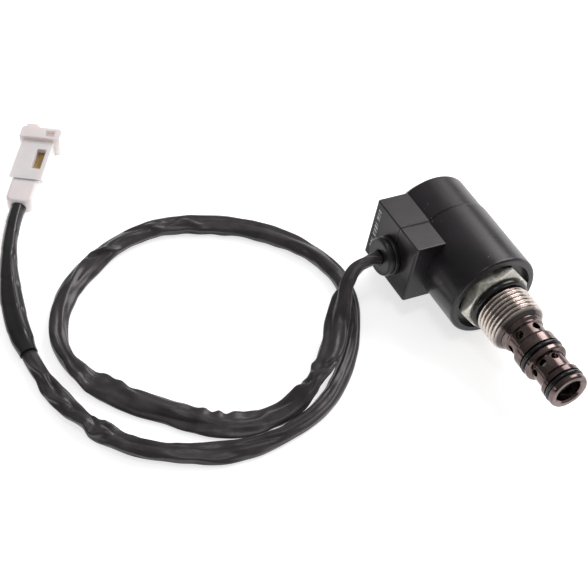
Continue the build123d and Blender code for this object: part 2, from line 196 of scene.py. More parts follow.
class Recipe:
    """A node material under construction."""

    MIX_FACTOR, MIX_A, MIX_B = 0, 6, 7      # inputs of a Mix node set to colours
    MIX_RESULT = 2                          # and its output

    def __init__(self, name, color, roughness, metallic=0.0, **shader):
        self.material = bpy.data.materials.new(name)
        self.material.use_nodes = True
        self.tree = self.material.node_tree
        self.shader = self.tree.nodes["Principled BSDF"]
        self.coordinates = self.tree.nodes.new("ShaderNodeTexCoord").outputs["Object"]
        self.set("Base Color", (*color, 1))
        self.set("Roughness", roughness)
        self.set("Metallic", metallic)
        for socket, value in shader.items():
            self.set(socket.replace("_", " "), value)
        self.height = None

    def set(self, socket, value):
        """A value that is the same all over, on the shader's own socket."""
        self.shader.inputs[socket].default_value = value

    def node(self, kind, **settings):
        """A new node, with settings for its properties or its inputs."""
        made = self.tree.nodes.new("ShaderNode" + kind)
        for key, value in settings.items():
            if hasattr(made, key):
                setattr(made, key, value)
            else:
                made.inputs[key.replace("_", " ")].default_value = value
        return made

    def link(self, output, target):
        self.tree.links.new(output, target)

    def stretched(self, scale):
        """Object coordinates, scaled along each axis."""
        mapping = self.node("Mapping")
        mapping.inputs["Scale"].default_value = scale
        self.link(self.coordinates, mapping.inputs["Vector"])
        return mapping.outputs["Vector"]

    def noise(self, scale, detail=3, rough=0.55, distortion=0.0, stretch=(1, 1, 1)):
        """Noise of a scale in features to the metre."""
        made = self.node("TexNoise", Scale=scale, Detail=detail, Roughness=rough, Distortion=distortion)
        self.link(self.stretched(stretch), made.inputs["Vector"])
        return made.outputs["Fac"]

    def cells(self, scale):
        """Distance from the nearest of scattered points, at a scale in points to the metre."""
        made = self.node("TexVoronoi", Scale=scale)
        self.link(self.coordinates, made.inputs["Vector"])
        return made.outputs["Distance"]

    def ramp(self, source, stops):
        """Colour or grey ramp: stops are (place, value) with a grey number or a colour."""
        made = self.node("ValToRGB")
        band = made.color_ramp
        while len(band.elements) < len(stops):
            band.elements.new(0.5)
        for element, (position, value) in zip(band.elements, stops):
            element.position = position
            element.color = (value,) * 3 + (1,) if isinstance(value, (int, float)) else (*value, 1)
        self.link(source, made.inputs["Fac"])
        return made.outputs["Color"]

    def mix(self, factor, a, b, blend="MIX"):
        """Mix of two colours, each a colour or an output."""
        made = self.node("Mix", data_type="RGBA", blend_type=blend)
        for value, key in ((factor, self.MIX_FACTOR), (a, self.MIX_A), (b, self.MIX_B)):
            if isinstance(value, bpy.types.NodeSocket):
                self.link(value, made.inputs[key])
            elif key == self.MIX_FACTOR:
                made.inputs[key].default_value = value
            else:
                made.inputs[key].default_value = (*value, 1)
        return made.outputs[self.MIX_RESULT]

    def distance_along_x(self, place_at, reach):
        """0 at a place on the X axis, rising to 1 at a reach from it."""
        axis = self.node("SeparateXYZ")
        self.link(self.coordinates, axis.inputs["Vector"])
        off = self.node("Math", operation="SUBTRACT")
        self.link(axis.outputs["X"], off.inputs[0])
        off.inputs[1].default_value = place_at
        distance = self.node("Math", operation="ABSOLUTE")
        self.link(off.outputs[0], distance.inputs[0])
        return self.between(distance.outputs[0], 0.0, reach)

    def between(self, source, low, high):
        """0 below one value of an output, 1 above the other."""
        made = self.node("MapRange")
        made.inputs["From Min"].default_value = low
        made.inputs["From Max"].default_value = high
        self.link(source, made.inputs["Value"])
        return made.outputs["Result"]

    def axis_and_radius(self):
        """Distance along the X axis and from it."""
        axis = self.node("SeparateXYZ")
        self.link(self.coordinates, axis.inputs["Vector"])
        flat = self.node("CombineXYZ")
        self.link(axis.outputs["Y"], flat.inputs["Y"])
        self.link(axis.outputs["Z"], flat.inputs["Z"])
        length = self.node("VectorMath", operation="LENGTH")
        self.link(flat.outputs["Vector"], length.inputs[0])
        return axis.outputs["X"], length.outputs["Value"]

    def colour(self, output):
        """Base colour from an output."""
        self.link(output, self.shader.inputs["Base Color"])

    def roughness(self, output, low, high):
        """Roughness between two values, by a 0 to 1 output."""
        made = self.node("MapRange")
        made.inputs["To Min"].default_value = low
        made.inputs["To Max"].default_value = high
        self.link(output, made.inputs["Value"])
        self.link(made.outputs["Result"], self.shader.inputs["Roughness"])

    def bump(self, output, distance, strength=1.0):
        """Add a bump of a height in metres. Bumps chain."""
        made = self.node("Bump", Strength=strength, Distance=distance)
        self.link(output, made.inputs["Height"])
        if self.height:
            self.link(self.height, made.inputs["Normal"])
        self.height = made.outputs["Normal"]
        self.link(self.height, self.shader.inputs["Normal"])


def coil_moulding():
    """Black satin moulded plastic: fine grain, scuffs, dust, and a dark line where the halves meet."""
    r = Recipe("coil_moulding", (0.014, 0.011, 0.013), 0.34)
    scuffs = r.noise(70, 5, 0.62, 0.3, (0.6, 1, 1))
    tint = r.ramp(scuffs, [(0.35, (0.006, 0.005, 0.006)), (0.62, (0.016, 0.012, 0.015))])
    specks = r.ramp(r.cells(420), [(0.07, 1), (0.12, 0)])
    rare = r.ramp(r.noise(45, 2), [(0.50, 0), (0.56, 1)])
    dust = r.mix(1.0, specks, rare, "MULTIPLY")
    dusty = r.mix(dust, tint, (0.16, 0.15, 0.15))
    line = r.ramp(r.distance_along_x(SEAM_X, 0.5 * MM), [(0.45, 1), (0.9, 0)])
    r.colour(r.mix(line, dusty, (0.001, 0.001, 0.001)))
    r.roughness(scuffs, 0.18, 0.44)
    r.bump(r.noise(2600, 2), 0.00002, 0.5)
    r.bump(r.noise(260, 3), 0.00010, 0.25)
    r.bump(line, -0.0004, 1.0)
    return r.material


def rubber(name, color, low, high):
    """Moulded rubber with faint mottling, between two values of roughness."""
    r = Recipe(name, color, (low + high) / 2)
    mottle = r.noise(240, 4)
    darker = tuple(c * 0.6 for c in color)
    r.colour(r.ramp(mottle, [(0.35, darker), (0.65, color)]))
    r.roughness(mottle, low, high)
    r.bump(r.noise(1800, 2), 0.00002, 0.5)
    return r.material


def zinc_plate():
    """Zinc plate: dull and greenish on the hex, brighter on the cut thread, with painted shade in its roots.
    """
    r = Recipe("zinc_steel", (0.6, 0.58, 0.52), 0.3, 0.85)
    cloud = r.noise(230, 4, 0.6, 0.6)
    dull = r.ramp(cloud, [
        (0.30, (0.32, 0.32, 0.27)), (0.48, (0.60, 0.59, 0.53)), (0.66, (0.82, 0.80, 0.75)),
    ])
    bright = r.ramp(cloud, [(0.30, (0.52, 0.45, 0.41)), (0.62, (0.82, 0.74, 0.68))])
    along, radius = r.axis_and_radius()
    # painted shade: the thread's colour is darker towards its roots, where shade falls
    painted_root_shade = r.ramp(r.between(radius, 10.0 * MM, 11.1 * MM), [(0.0, 0.0), (0.75, 1.0)])
    threaded = r.mix(painted_root_shade, (0.10, 0.085, 0.08), bright)
    on_thread = r.between(along, 1.5 * MM, 2.5 * MM)
    r.colour(r.mix(on_thread, dull, threaded))
    worn = r.noise(420, 4, 0.6)
    hex_roughness = r.ramp(worn, [(0.3, 0.42), (0.7, 0.66)])
    thread_roughness = r.ramp(worn, [(0.3, 0.14), (0.7, 0.28)])
    r.roughness(r.mix(on_thread, hex_roughness, thread_roughness), 0.0, 1.0)
    r.bump(r.noise(700, 4, 0.6), 0.00002, 0.4)
    return r.material


def turned_steel(name, color, shade, low, high):
    """Metal turned about the X axis: a darker cloud, and fine rings between two values of roughness."""
    r = Recipe(name, color, (low + high) / 2, 1.0)
    cloud = r.noise(130, 4, 0.6, 0.6)
    r.colour(r.ramp(cloud, [(0.32, shade), (0.64, color)]))
    rings = r.noise(3600, 2, 0.5, 0.0, (1, 0.03, 0.03))
    r.roughness(rings, low, high)
    r.bump(rings, 0.000012, 0.6)
    return r.material


def sleeve_pvc():
    """Thin black PVC sleeving: semi-gloss, with fine creases."""
    r = Recipe("sleeve_pvc", (0.024, 0.020, 0.023), 0.36)
    cloud = r.noise(120, 4, 0.6, 0.3)
    r.colour(r.ramp(cloud, [(0.32, (0.024, 0.020, 0.022)), (0.66, (0.050, 0.043, 0.047))]))
    r.roughness(cloud, 0.28, 0.42)
    r.bump(r.noise(190, 3, 0.5, 0.6), 0.0004, 0.30)
    r.bump(r.noise(1500, 2), 0.00003, 0.4)
    return r.material


def tape_pvc():
    """Glossy black insulating tape."""
    r = Recipe("tape_pvc", (0.01, 0.009, 0.01), 0.24)
    cloud = r.noise(50, 2, 0.5)
    r.colour(r.ramp(cloud, [(0.35, (0.008, 0.007, 0.008)), (0.65, (0.016, 0.014, 0.015))]))
    r.roughness(cloud, 0.20, 0.28)
    r.bump(r.noise(900, 2, 0.5), 0.00002, 0.25)
    return r.material


def connector_nylon():
    """Natural nylon: milky and slightly see-through, with a warm tint."""
    r = Recipe(
        "connector_nylon", (0.92, 0.87, 0.87), 0.38,
        Subsurface_Weight=0.6, Subsurface_Scale=0.003,
    )
    r.set("Subsurface Radius", (1.0, 0.6, 0.5))
    cloud = r.noise(120, 3)
    r.colour(r.ramp(cloud, [(0.3, (0.92, 0.85, 0.84)), (0.7, (0.96, 0.90, 0.89))]))
    r.roughness(cloud, 0.30, 0.46)
    r.bump(r.noise(1400, 2), 0.00002, 0.4)
    return r.material


def plain_plastic(name, color, low, high):
    """Simple moulded plastic for the pieces inside."""
    r = Recipe(name, color, (low + high) / 2)
    cloud = r.noise(200, 3)
    r.colour(r.ramp(cloud, [(0.3, tuple(c * 0.8 for c in color)), (0.7, color)]))
    r.roughness(cloud, low, high)
    r.bump(r.noise(1500, 2), 0.00002, 0.4)
    return r.material


def copper_winding():
    """Enamelled wire, wound side by side about the X axis."""
    r = Recipe("copper", (0.72, 0.30, 0.13), 0.3, 1.0, Coat_Weight=0.4)
    wires = r.node("TexWave", wave_type="BANDS", bands_direction="X", Scale=700.0)
    r.link(r.coordinates, wires.inputs["Vector"])
    # painted shade: the colour darkens in the hollows between the turns of wire
    r.colour(r.ramp(wires.outputs["Fac"], [(0.0, (0.30, 0.10, 0.04)), (0.5, (0.75, 0.33, 0.14))]))
    r.bump(wires.outputs["Fac"], 0.0002, 1.0)
    return r.material


def print_ink():
    """Worn pale ink."""
    r = Recipe("print_ink", (0.5, 0.5, 0.52), 0.6)
    wear = r.noise(900, 3, 0.6)
    r.colour(r.ramp(wear, [(0.34, (0.10, 0.10, 0.11)), (0.50, (0.62, 0.62, 0.66))]))
    r.bump(wear, 0.00001, 0.5)
    return r.material


def floor_paper():
    """Plain pale studio floor."""
    r = Recipe("floor_paper", (0.9, 0.9, 0.9), 0.9, Emission_Strength=0.66)
    r.set("Emission Color", (1, 1, 1, 1))
    r.colour(r.ramp(r.noise(6, 2), [(0.3, 0.89), (0.7, 0.91)]))
    return r.material


MATERIALS = {
    "coil_moulding": coil_moulding(),
    "zinc_steel": zinc_plate(),
    "dark_steel": turned_steel("dark_steel", (0.20, 0.155, 0.145), (0.085, 0.062, 0.058), 0.12, 0.26),
    "seal_rubber": rubber("seal_rubber", (0.006, 0.006, 0.006), 0.14, 0.26),
    "gland_rubber": rubber("gland_rubber", (0.016, 0.014, 0.015), 0.28, 0.42),
    "wire_insulation": rubber("wire_insulation", (0.02, 0.02, 0.02), 0.3, 0.4),
    "tube_steel": turned_steel("tube_steel", (0.66, 0.66, 0.67), (0.5, 0.5, 0.51), 0.16, 0.30),
    "soft_iron": turned_steel("soft_iron", (0.50, 0.50, 0.51), (0.36, 0.35, 0.35), 0.28, 0.44),
    "spring_steel": turned_steel("spring_steel", (0.48, 0.48, 0.50), (0.3, 0.3, 0.3), 0.2, 0.34),
    "copper": copper_winding(),
    "bobbin_nylon": plain_plastic("bobbin_nylon", (0.55, 0.52, 0.46), 0.35, 0.5),
    "winding_tape": plain_plastic("winding_tape", (0.62, 0.36, 0.06), 0.2, 0.3),
    "sleeve_pvc": sleeve_pvc(),
    "tape_pvc": tape_pvc(),
    "connector_nylon": connector_nylon(),
    "terminal_brass": turned_steel("terminal_brass", (0.62, 0.44, 0.20), (0.40, 0.26, 0.10), 0.25, 0.4),
    "print_ink": print_ink(),
}


def dress_nodes():
    """Each CAD node gets the procedural material of its slot."""
    for part in frame["record"]["subparts"]:
        made = NODES[part["node"]]
        made.data.materials.clear()
        made.data.materials.append(MATERIALS[part["material_slot"]])


# ---- camera ----------------------------------------------------------------------------------

CAMERA_AIM = Vector((-0.05306, -0.05805, FLOOR_Z))
CAMERA_AZIMUTH = math.radians(61.83)
CAMERA_ELEVATION = math.radians(49.88)
CAMERA_DISTANCE = 0.67404
CAMERA_LENS = 105.92


def add_camera():
    """A long lens at the product picture's angle."""
    flat = math.cos(CAMERA_ELEVATION)
    back = Vector((
        math.sin(CAMERA_AZIMUTH) * flat,
        -math.cos(CAMERA_AZIMUTH) * flat,
        math.sin(CAMERA_ELEVATION),
    ))
    data = bpy.data.cameras.new("camera")
    data.lens = CAMERA_LENS
    data.sensor_width = 36
    camera = bpy.data.objects.new("camera", data)
    bpy.context.scene.collection.objects.link(camera)
    camera.location = CAMERA_AIM + back * CAMERA_DISTANCE
    camera.rotation_mode = "QUATERNION"
    camera.rotation_quaternion = (-back).to_track_quat("-Z", "Y")
    bpy.context.scene.camera = camera


# ---- the lead --------------------------------------------------------------------------------

# control points of the lead's line in millimetres: out of the gland, down, and nearly two turns
ROUTE_Z = -14.65
ROUTE = [
    (-37.3, -30.01, 3.96),
    (-37.3, -38.34, 5.62),
    (-33.5, -46.5, 0.5),
    (-26.5, -54.0, -7.5),
    (-16.5, -60.7, -9.0),
    (-9.0, -69.5, -9.6),
    (-3.6, -81.5, -13.0),
    (-2.8, -95.0, ROUTE_Z),
    (-6.8, -109.5, ROUTE_Z),
    (-17.0, -121.0, ROUTE_Z),
    (-30.0, -133.0, ROUTE_Z),
    (-44.0, -142.3, ROUTE_Z),
    (-59.5, -150.2, ROUTE_Z),
    (-76.0, -148.5, ROUTE_Z),
    (-91.0, -138.8, ROUTE_Z),
    (-101.5, -124.5, ROUTE_Z),
    (-107.5, -108.0, ROUTE_Z),
    (-108.3, -91.5, ROUTE_Z),
    (-101.5, -74.5, ROUTE_Z),
    (-89.0, -57.5, ROUTE_Z),
    (-73.0, -45.5, ROUTE_Z),
    (-56.0, -39.0, ROUTE_Z),
    (-38.0, -41.0, ROUTE_Z),
    (-20.5, -50.0, ROUTE_Z),
    (-6.5, -62.5, ROUTE_Z),
    (2.8, -76.0, ROUTE_Z),
    (6.3, -91.0, ROUTE_Z),
    (6.3, -105.0, ROUTE_Z),
    (1.5, -119.5, ROUTE_Z),
    (-6.0, -134.0, ROUTE_Z),
    (-17.5, -147.0, ROUTE_Z),
    (-34.0, -155.5, ROUTE_Z),
    (-53.0, -160.5, ROUTE_Z),
    (-73.0, -161.5, ROUTE_Z),
    (-95.0, -158.5, ROUTE_Z),
    (-117.5, -151.2, ROUTE_Z),
    (-134.91, -142.52, ROUTE_Z),
    (-143.7, -135.9, ROUTE_Z),
]


def route_points():
    """Points along the smooth line of the lead, read from a NURBS spline through the route."""
    curve = bpy.data.curves.new("lead_route", "CURVE")
    curve.dimensions = "3D"
    spline = curve.splines.new("NURBS")
    spline.points.add(len(ROUTE) - 1)
    for point, place_mm in zip(spline.points, ROUTE):
        point.co = (*[value * MM for value in place_mm], 1)
    spline.order_u = 3
    spline.use_endpoint_u = True
    spline.resolution_u = 24
    holder = bpy.data.objects.new("lead_route", curve)
    bpy.context.scene.collection.objects.link(holder)
    bpy.context.view_layer.update()
    line = bpy.data.meshes.new_from_object(holder)
    points = [vertex.co.copy() for vertex in line.vertices]
    bpy.data.objects.remove(holder)
    bpy.data.meshes.remove(line)
    return points


def evenly(points, step):
    """The same line at even spacing."""
    out = [points[0]]
    left = step
    for a, b in zip(points, points[1:]):
        length = (b - a).length
        while length >= left:
            a = a.lerp(b, left / length)
            out.append(a.copy())
            length = (b - a).length
            left = step
        left -= length
    out.append(points[-1])
    return out


def line_length(points):
    """Length of a line of points."""
    return sum((b - a).length for a, b in zip(points, points[1:]))


def stations(points):
    """(distance along, centre, across, up) at each point, with across level."""
    s = 0.0
    for i, centre in enumerate(points):
        before = points[max(i - 1, 0)]
        after = points[min(i + 1, len(points) - 1)]
        s += (centre - before).length
        along = (after - before).normalized()
        across = Vector((0, 0, 1)).cross(along).normalized()
        yield s, centre, across, along.cross(across)


def smooth_step(low, high, value):
    """0 below one value and 1 above the other, with a smooth rise between them."""
    t = min(1, max(0, (value - low) / (high - low)))
    return t * t * (3 - 2 * t)


LEAD_LINE = evenly(route_points(), 0.9 * MM)
LEAD_LENGTH = line_length(LEAD_LINE)
TAPE_START = LEAD_LENGTH - 78 * MM          # the tape runs from here to the connector
TAPE_LAP = 14                               # millimetres along from one turn of the tape to the next
WIDEST = 6.1 * MM                           # from the line to the furthest edge of the flat sleeve


def turn_rate(points, i, reach=8):
    """How sharply the line turns to its left at a point, in radians to the metre."""
    a = points[max(i - reach, 0)]
    b = points[i]
    c = points[min(i + reach, len(points) - 1)]
    u = b - a
    v = c - b
    if u.length < 1e-6 or v.length < 1e-6:
        return 0.0
    bend = math.atan2(u.x * v.y - u.y * v.x, u.x * v.x + u.y * v.y)
    return bend / ((u.length + v.length) / 2)


# the flattened sleeve: (mm along, half width in mm, half thickness in mm, roll in degrees)
SHAPE = [
    (0, 2.6, 2.6, 0), (6, 2.7, 2.3, 35), (11, 2.8, 2.3, 60), (17, 3.9, 2.3, 55),
    (24, 4.7, 2.1, 30), (34, 4.9, 2.0, 15), (47, 4.9, 2.0, 8), (53, 4.3, 2.3, 20),
    (58, 3.5, 2.5, 45), (63, 4.3, 2.3, 22), (70, 4.9, 2.2, 12),
    (80, 5.2, 2.0, 8), (88, 5.9, 1.8, 0), (100, 5.7, 1.8, 0), (111, 5.7, 1.8, -4), (120, 4.9, 2.2, -8),
    (131, 5.6, 1.9, 0), (150, 5.6, 1.9, 5), (158, 4.2, 2.4, 20), (166, 3.0, 2.8, 35), (180, 3.7, 2.8, 20),
    (200, 4.2, 2.7, 8), (216, 4.6, 2.3, 0), (224, 4.5, 2.5, -12), (234, 3.9, 2.8, -5), (250, 3.9, 2.7, 5),
    (270, 4.5, 2.4, 8), (300, 4.2, 2.6, 0), (322, 3.7, 2.8, -10), (338, 3.4, 2.7, -35), (360, 3.4, 2.7, -50),
    (395, 3.4, 2.7, -50), (415, 3.1, 2.6, -40), (430, 3.9, 2.6, -10), (440, 5.1, 2.2, 0), (451, 4.5, 2.4, 6),
    (462, 4.1, 2.6, 10), (476, 4.5, 2.5, 20), (486, 4.4, 2.4, -20), (492, 3.7, 2.8, 30), (501, 4.4, 2.4, 12),
    (511, 4.0, 2.6, -15), (520, 3.1, 2.7, 10), (530, 3.0, 2.5, 0), (620, 3.0, 2.5, 0),
]

# folds and creases, listed:
# (mm along, degrees round, degrees per mm, half length, half width in degrees, height in mm)
FOLDS = [
    (12, 70, 1.5, 14, 20, 0.7), (12, 110, 1.5, 14, 18, -0.8), (30, 118, -0.3, 22, 15, -0.6),
    (52, 60, 12.0, 4, 30, -1.1), (56, 120, -9.0, 4, 28, 0.9), (61, 95, 14.0, 4, 26, -1.0),
    (66, 130, 5.0, 6, 22, 0.8), (76, 120, 4.0, 8, 20, -0.8), (87, 120, 1.0, 5, 26, -1.3),
    (92, 75, 1.5, 10, 16, 0.5), (112, 60, -1.0, 16, 15, -0.6), (118, 95, 0.6, 22, 13, 0.5),
    (137, 110, 3.0, 8, 18, 0.6), (148, 80, -5.0, 7, 20, -0.7), (158, 115, 3.0, 6, 20, 0.6),
    (172, 75, 0.5, 18, 16, -0.6), (196, 95, -1.0, 16, 15, 0.5), (212, 60, -3.0, 8, 14, 0.6),
    (221, 80, 12.0, 4, 22, -1.2), (224, 100, 12.0, 4, 20, 0.9), (232, 100, 2.0, 6, 16, 0.6),
    (240, 70, 4.0, 5, 18, -0.8), (247, 105, 6.0, 4, 20, 0.8), (254, 80, -4.0, 4, 18, -0.8),
    (262, 95, 5.0, 4, 16, 0.7), (286, 70, -0.4, 24, 15, -0.6), (304, 110, -0.4, 24, 13, 0.5),
    (324, 60, 1.5, 12, 15, -0.6), (372, 80, 0.3, 34, 16, -0.5), (402, 100, 0.3, 26, 14, 0.5),
    (425, 110, 1.5, 9, 20, -1.0), (434, 80, 1.0, 10, 16, 0.7), (443, 110, 0.5, 11, 26, -1.5),
    (458, 80, -1.5, 13, 16, 0.7), (466, 100, 2.0, 13, 18, -0.9), (477, 110, 2.5, 8, 24, -1.7),
    (484, 70, -7.0, 8, 13, 1.1), (490, 110, -7.0, 7, 12, 0.9), (499, 110, 0.5, 8, 30, -1.9),
    (506, 60, -5.0, 7, 13, 1.0), (513, 110, 3.0, 6, 20, -1.1), (520, 70, -4.0, 7, 13, 0.9),
]


def from_table(table, place_mm):
    """Smooth values between a table's rows, whose first entry is the distance along."""
    if place_mm <= table[0][0]:
        return table[0][1:]
    for before, after in zip(table, table[1:]):
        if place_mm <= after[0]:
            t = smooth_step(before[0], after[0], place_mm)
            return tuple(a + (b - a) * t for a, b in zip(before[1:], after[1:]))
    return table[-1][1:]


def fold_height(mm, degrees):
    """Height of the folds and creases in millimetres at a place on the sleeve's skin."""
    height = 0.0
    for centre, start, slope, reach, spread, rise in FOLDS:
        along = (mm - centre) / reach
        if abs(along) > 2.2:
            continue
        off = (degrees - start - slope * (mm - centre) + 180) % 360 - 180
        height += rise * math.exp(-along ** 2 - (off / spread) ** 2)
    return height


def sleeve_wrinkle(mm, angle, inner_side):
    """Outward shift of the sleeve's skin in millimetres: folds, creases and buckles inside each bend."""
    if mm > TAPE_START / MM:
        return 0.0
    around = math.cos(angle)
    lift = math.sin(angle)
    crease = 0.45 * noise.noise(Vector((mm / 22, around * 1.9, lift * 1.9)))
    fine = 0.24 * noise.noise(Vector((mm / 7, around * 2.2 + 5, lift * 2.2)))
    edge = max(0.0, around * inner_side)
    phase = mm / 12 + 0.9 * noise.noise(Vector((mm / 21, 7.7, 1.3)))
    scallop = smooth_step(70, 100, mm) * (1 - smooth_step(150, 165, mm))
    buckle = (0.25 + 1.1 * scallop) * edge ** 1.5 * math.sin(2 * math.pi * phase)
    return crease + fine + buckle + 1.3 * fold_height(mm, math.degrees(angle))


def lay_on_floor(rings, clear, reach=0):
    """Let each ring down onto the surface, by the mean drop of the rings within a reach of it.

    A ring whose centre is higher than the resting line is let down less, or not at all.
    """
    resting = (ROUTE_Z + 0.4) * MM
    lifted = 2 * MM
    drops = []
    for ring in rings:
        centre = sum(ring, Vector()) / len(ring)
        down = min(point.z for point in ring) - (FLOOR_Z + clear)
        if down > 0:
            down *= 1 - min(1, max(0, (centre.z - resting) / lifted))
        drops.append(down)
    for i, ring in enumerate(rings):
        near = drops[max(0, i - reach):i + reach + 1]
        drop = sum(near) / len(near)
        for point in ring:
            point.z -= drop


def sleeve_section(s):
    """Half width, half thickness and roll of the sleeve at a distance along. The tape holds it round."""
    half_width, half_height, degrees = from_table(SHAPE, s / MM)
    taped = smooth_step(TAPE_START, TAPE_START + 6 * MM, s)
    half_width += (2.8 - half_width) * taped
    half_height += (2.4 - half_height) * taped
    return half_width * MM, half_height * MM, math.radians(degrees)


def build_sleeve():
    """The thin flattened sleeve along the lead's whole line. Tape covers the end of it."""
    rings = []
    for i, (s, centre, across, up) in enumerate(stations(LEAD_LINE)):
        inner_side = max(-0.6, min(0.6, turn_rate(LEAD_LINE, i) / 18))
        half_width, half_height, roll = sleeve_section(s)
        ring = []
        for angle in angles(56):
            out = sleeve_wrinkle(s / MM, angle, inner_side) * MM
            a = (half_width + out) * math.cos(angle)
            b = (half_height + out) * math.sin(angle)
            within = min(1.0, WIDEST / max(math.hypot(a, b), 1e-9))
            c = within * (a * math.cos(roll) - b * math.sin(roll))
            d = within * (a * math.sin(roll) + b * math.cos(roll))
            ring.append(centre + across * c + up * d)
        rings.append(ring)
    lay_on_floor(rings, 0.05 * MM)
    return skin_rings("cable_sleeve_skin", rings, caps=True, sharp_angle=70)


def tape_ridge(mm, degrees):
    """Height in millimetres of the long crease that shows through the tape."""
    reach = smooth_step(2, 12, mm) * (1 - smooth_step(44, 60, mm))
    wander = 6 * noise.noise(Vector((mm / 16, 3.1, 8.4)))
    ridge = 0.50 * math.exp(-((degrees - 104 - wander) / 15) ** 2)
    valley = 0.35 * math.exp(-((degrees - 134 - wander) / 14) ** 2)
    return reach * (ridge - valley)


def tape_height(mm, angle):
    """Outward shift of the tape's skin in millimetres: the edge of each turn, and its creases."""
    through = (mm / TAPE_LAP + angle / (2 * math.pi)) % 1.0
    edge = 0.20 * (1 - through + smooth_step(0.88, 1.0, through))
    around = Vector((mm / 22, math.cos(angle) * 1.4, math.sin(angle) * 1.4 + 4))
    return edge + 0.35 * noise.noise(around) + tape_ridge(mm, math.degrees(angle))


def build_tape():
    """Insulating tape wound over the end of the lead, each turn over the edge of the last."""
    rings = []
    for s, centre, across, up in stations(LEAD_LINE):
        if s < TAPE_START:
            continue
        mm = (s - TAPE_START) / MM
        half_width = 3.5 + 0.9 * smooth_step(0, 10, mm) - 1.45 * smooth_step(28, 62, mm)
        half_height = 2.9 - 0.1 * smooth_step(8, 70, mm)
        ring = []
        for angle in angles(96):
            out = tape_height(mm, angle)
            a = (half_width + out) * MM * math.cos(angle)
            b = (half_height + out) * MM * math.sin(angle)
            ring.append(centre + across * a + up * b)
        rings.append(ring)
    lay_on_floor(rings, 0.17 * MM, 12)
    return skin_rings("lead_tape", rings, caps=True, sharp_angle=50)


# ---- pieces in the coil's own frame ----------------------------------------------------------

COIL_FRAME = Matrix.Rotation(-COIL_TILT, 4, "X")
GLAND_X, GLAND_Z = -37.3, -2.0
BLOCK_FACE = 25.4                           # from the axis to the block's face


def build_gland():
    """Rubber grommet: two fat rings and a mouth that the sleeve is pushed into."""
    corners = [
        (23.6, 0.9), (23.6, 4.9), (25.4, 4.9), (25.4, 7.75), (27.25, 7.7), (27.55, 6.75), (28.15, 6.75),
        (28.4, 7.65), (30.0, 7.3), (30.2, 5.4), (30.1, 3.4), (29.6, 2.5), (27.0, 2.3), (26.0, 0.9),
    ]
    radii = [0, 0, 0, 0.5, 0.9, 0.35, 0.35, 0.9, 0.9, 0.7, 0.6, 0.6, 0.5, 0]
    outline = divided(rounded(corners, radii, 6), 0.7)

    def slump(x, angle, r):
        """Slight swell of the soft rings outside the block."""
        if not 25.6 < x < 30.3 or r <= 3:
            return r
        return r + 0.18 * noise.noise(Vector((math.cos(angle) * 1.3, math.sin(angle) * 1.3, x / 3)))

    made = turned("cable_gland_rubber", outline, 96, slump, 50)
    x_to_block_side = Matrix(((0, 1, 0, 0), (-1, 0, 0, 0), (0, 0, 1, 0), (0, 0, 0, 1)))
    shift = Matrix.Translation(Vector((GLAND_X, 0, GLAND_Z)) * MM)
    return place(made, COIL_FRAME @ shift @ x_to_block_side)


def build_print():
    """A row of plain bars on the block's face in place of the printed rating."""
    widths = [1.1, 0.6, 1.5, 0.5, 1.2, 0.8, 1.4, 0.6, 1.0, 1.3]
    group_ends = (2, 6)
    gap, group_gap = 0.7, 1.2
    height, slant = 2.1, 0.35
    x0 = -50.0
    x1 = x0 + height
    outer, inner = -(BLOCK_FACE + 0.02), -(BLOCK_FACE - 0.05)
    box_faces = (
        (0, 1, 2, 3), (7, 6, 5, 4), (0, 4, 5, 1), (1, 5, 6, 2), (2, 6, 7, 3), (3, 7, 4, 0),
    )
    vertices = []
    faces = []
    z = 10.4
    for index, width in enumerate(widths):
        corners = [(x0, z), (x1, z - slant), (x1, z - slant - width), (x0, z - width)]
        start = len(vertices)
        for y in (outer, inner):
            vertices += [Vector((x, y, corner_z)) * MM for x, corner_z in corners]
        faces += [tuple(start + k for k in face) for face in box_faces]
        z -= width + gap + (group_gap if index in group_ends else 0)
    made = new_object("rating_bars", vertices, faces)
    face_outwards(made)
    return place(made, COIL_FRAME)


# ---- cartridge -------------------------------------------------------------------------------

HEX_FLATS = INCH
HEX_TURN = math.radians(1.7)
HEX_BACK = -5.5
BODY_BORE = 6.39
SPIGOT_R = 8.24
UNDERCUT_R = 9.55
THREAD_R = 7 / 8 * INCH / 2
PITCH = INCH / 14
THREAD_START = 3.1
THREAD_END = 13.8
BODY_END = 16.4
BODY_END_R = 9.06

NUT_FLATS = 3 / 4 * INCH
NUT_TURN = math.radians(20)
NUT_BORE = 5.96

CORE_R = 5.51
CORE_END = -44.0
COLLAR_R = 6.35
STUD_R = 5.9

SPRING_POCKET = 6.0
SPRING_POCKET_R = 2.6
SPRING_RADIUS = 2.0
SPRING_WIRE = 0.35
SPRING_TURNS = 6.5


def hex_radius(angle, flats, turn):
    """Distance from the axis to a hexagon's side, with its corners a little rounded."""
    sector = math.pi / 3
    off = (angle - turn) % sector - sector / 2
    sharp = flats / 2 / math.cos(off)
    corner = hex_corner(flats)
    return min(sharp, corner - 0.18)


def hex_corner(flats):
    """Distance from the axis to a hexagon's sharp corner."""
    return flats / math.sqrt(3)


def chamfered(x, back, front, flats, slope):
    """Radius that the end chamfers leave at a station of a hex head."""
    rim = flats / 2 - 0.3
    depth = min(x - back, front - x)
    return rim + max(0.0, depth) * slope


def thread_radius(x, angle):
    """Radius of the manifold thread: a right-hand helix with rounded crests and roots."""
    depth = 0.6134 * PITCH
    turn = ((x - THREAD_START) / PITCH - angle / (2 * math.pi)) % 1.0
    flank = min(1, max(0, (abs(2 * turn - 1) - 0.10) / 0.74))
    profile = 0.35 * smooth_step(0, 1, flank) + 0.65 * flank
    fade_in = smooth_step(THREAD_START - 0.1, THREAD_START + 0.9, x)
    return THREAD_R - depth + depth * profile * fade_in


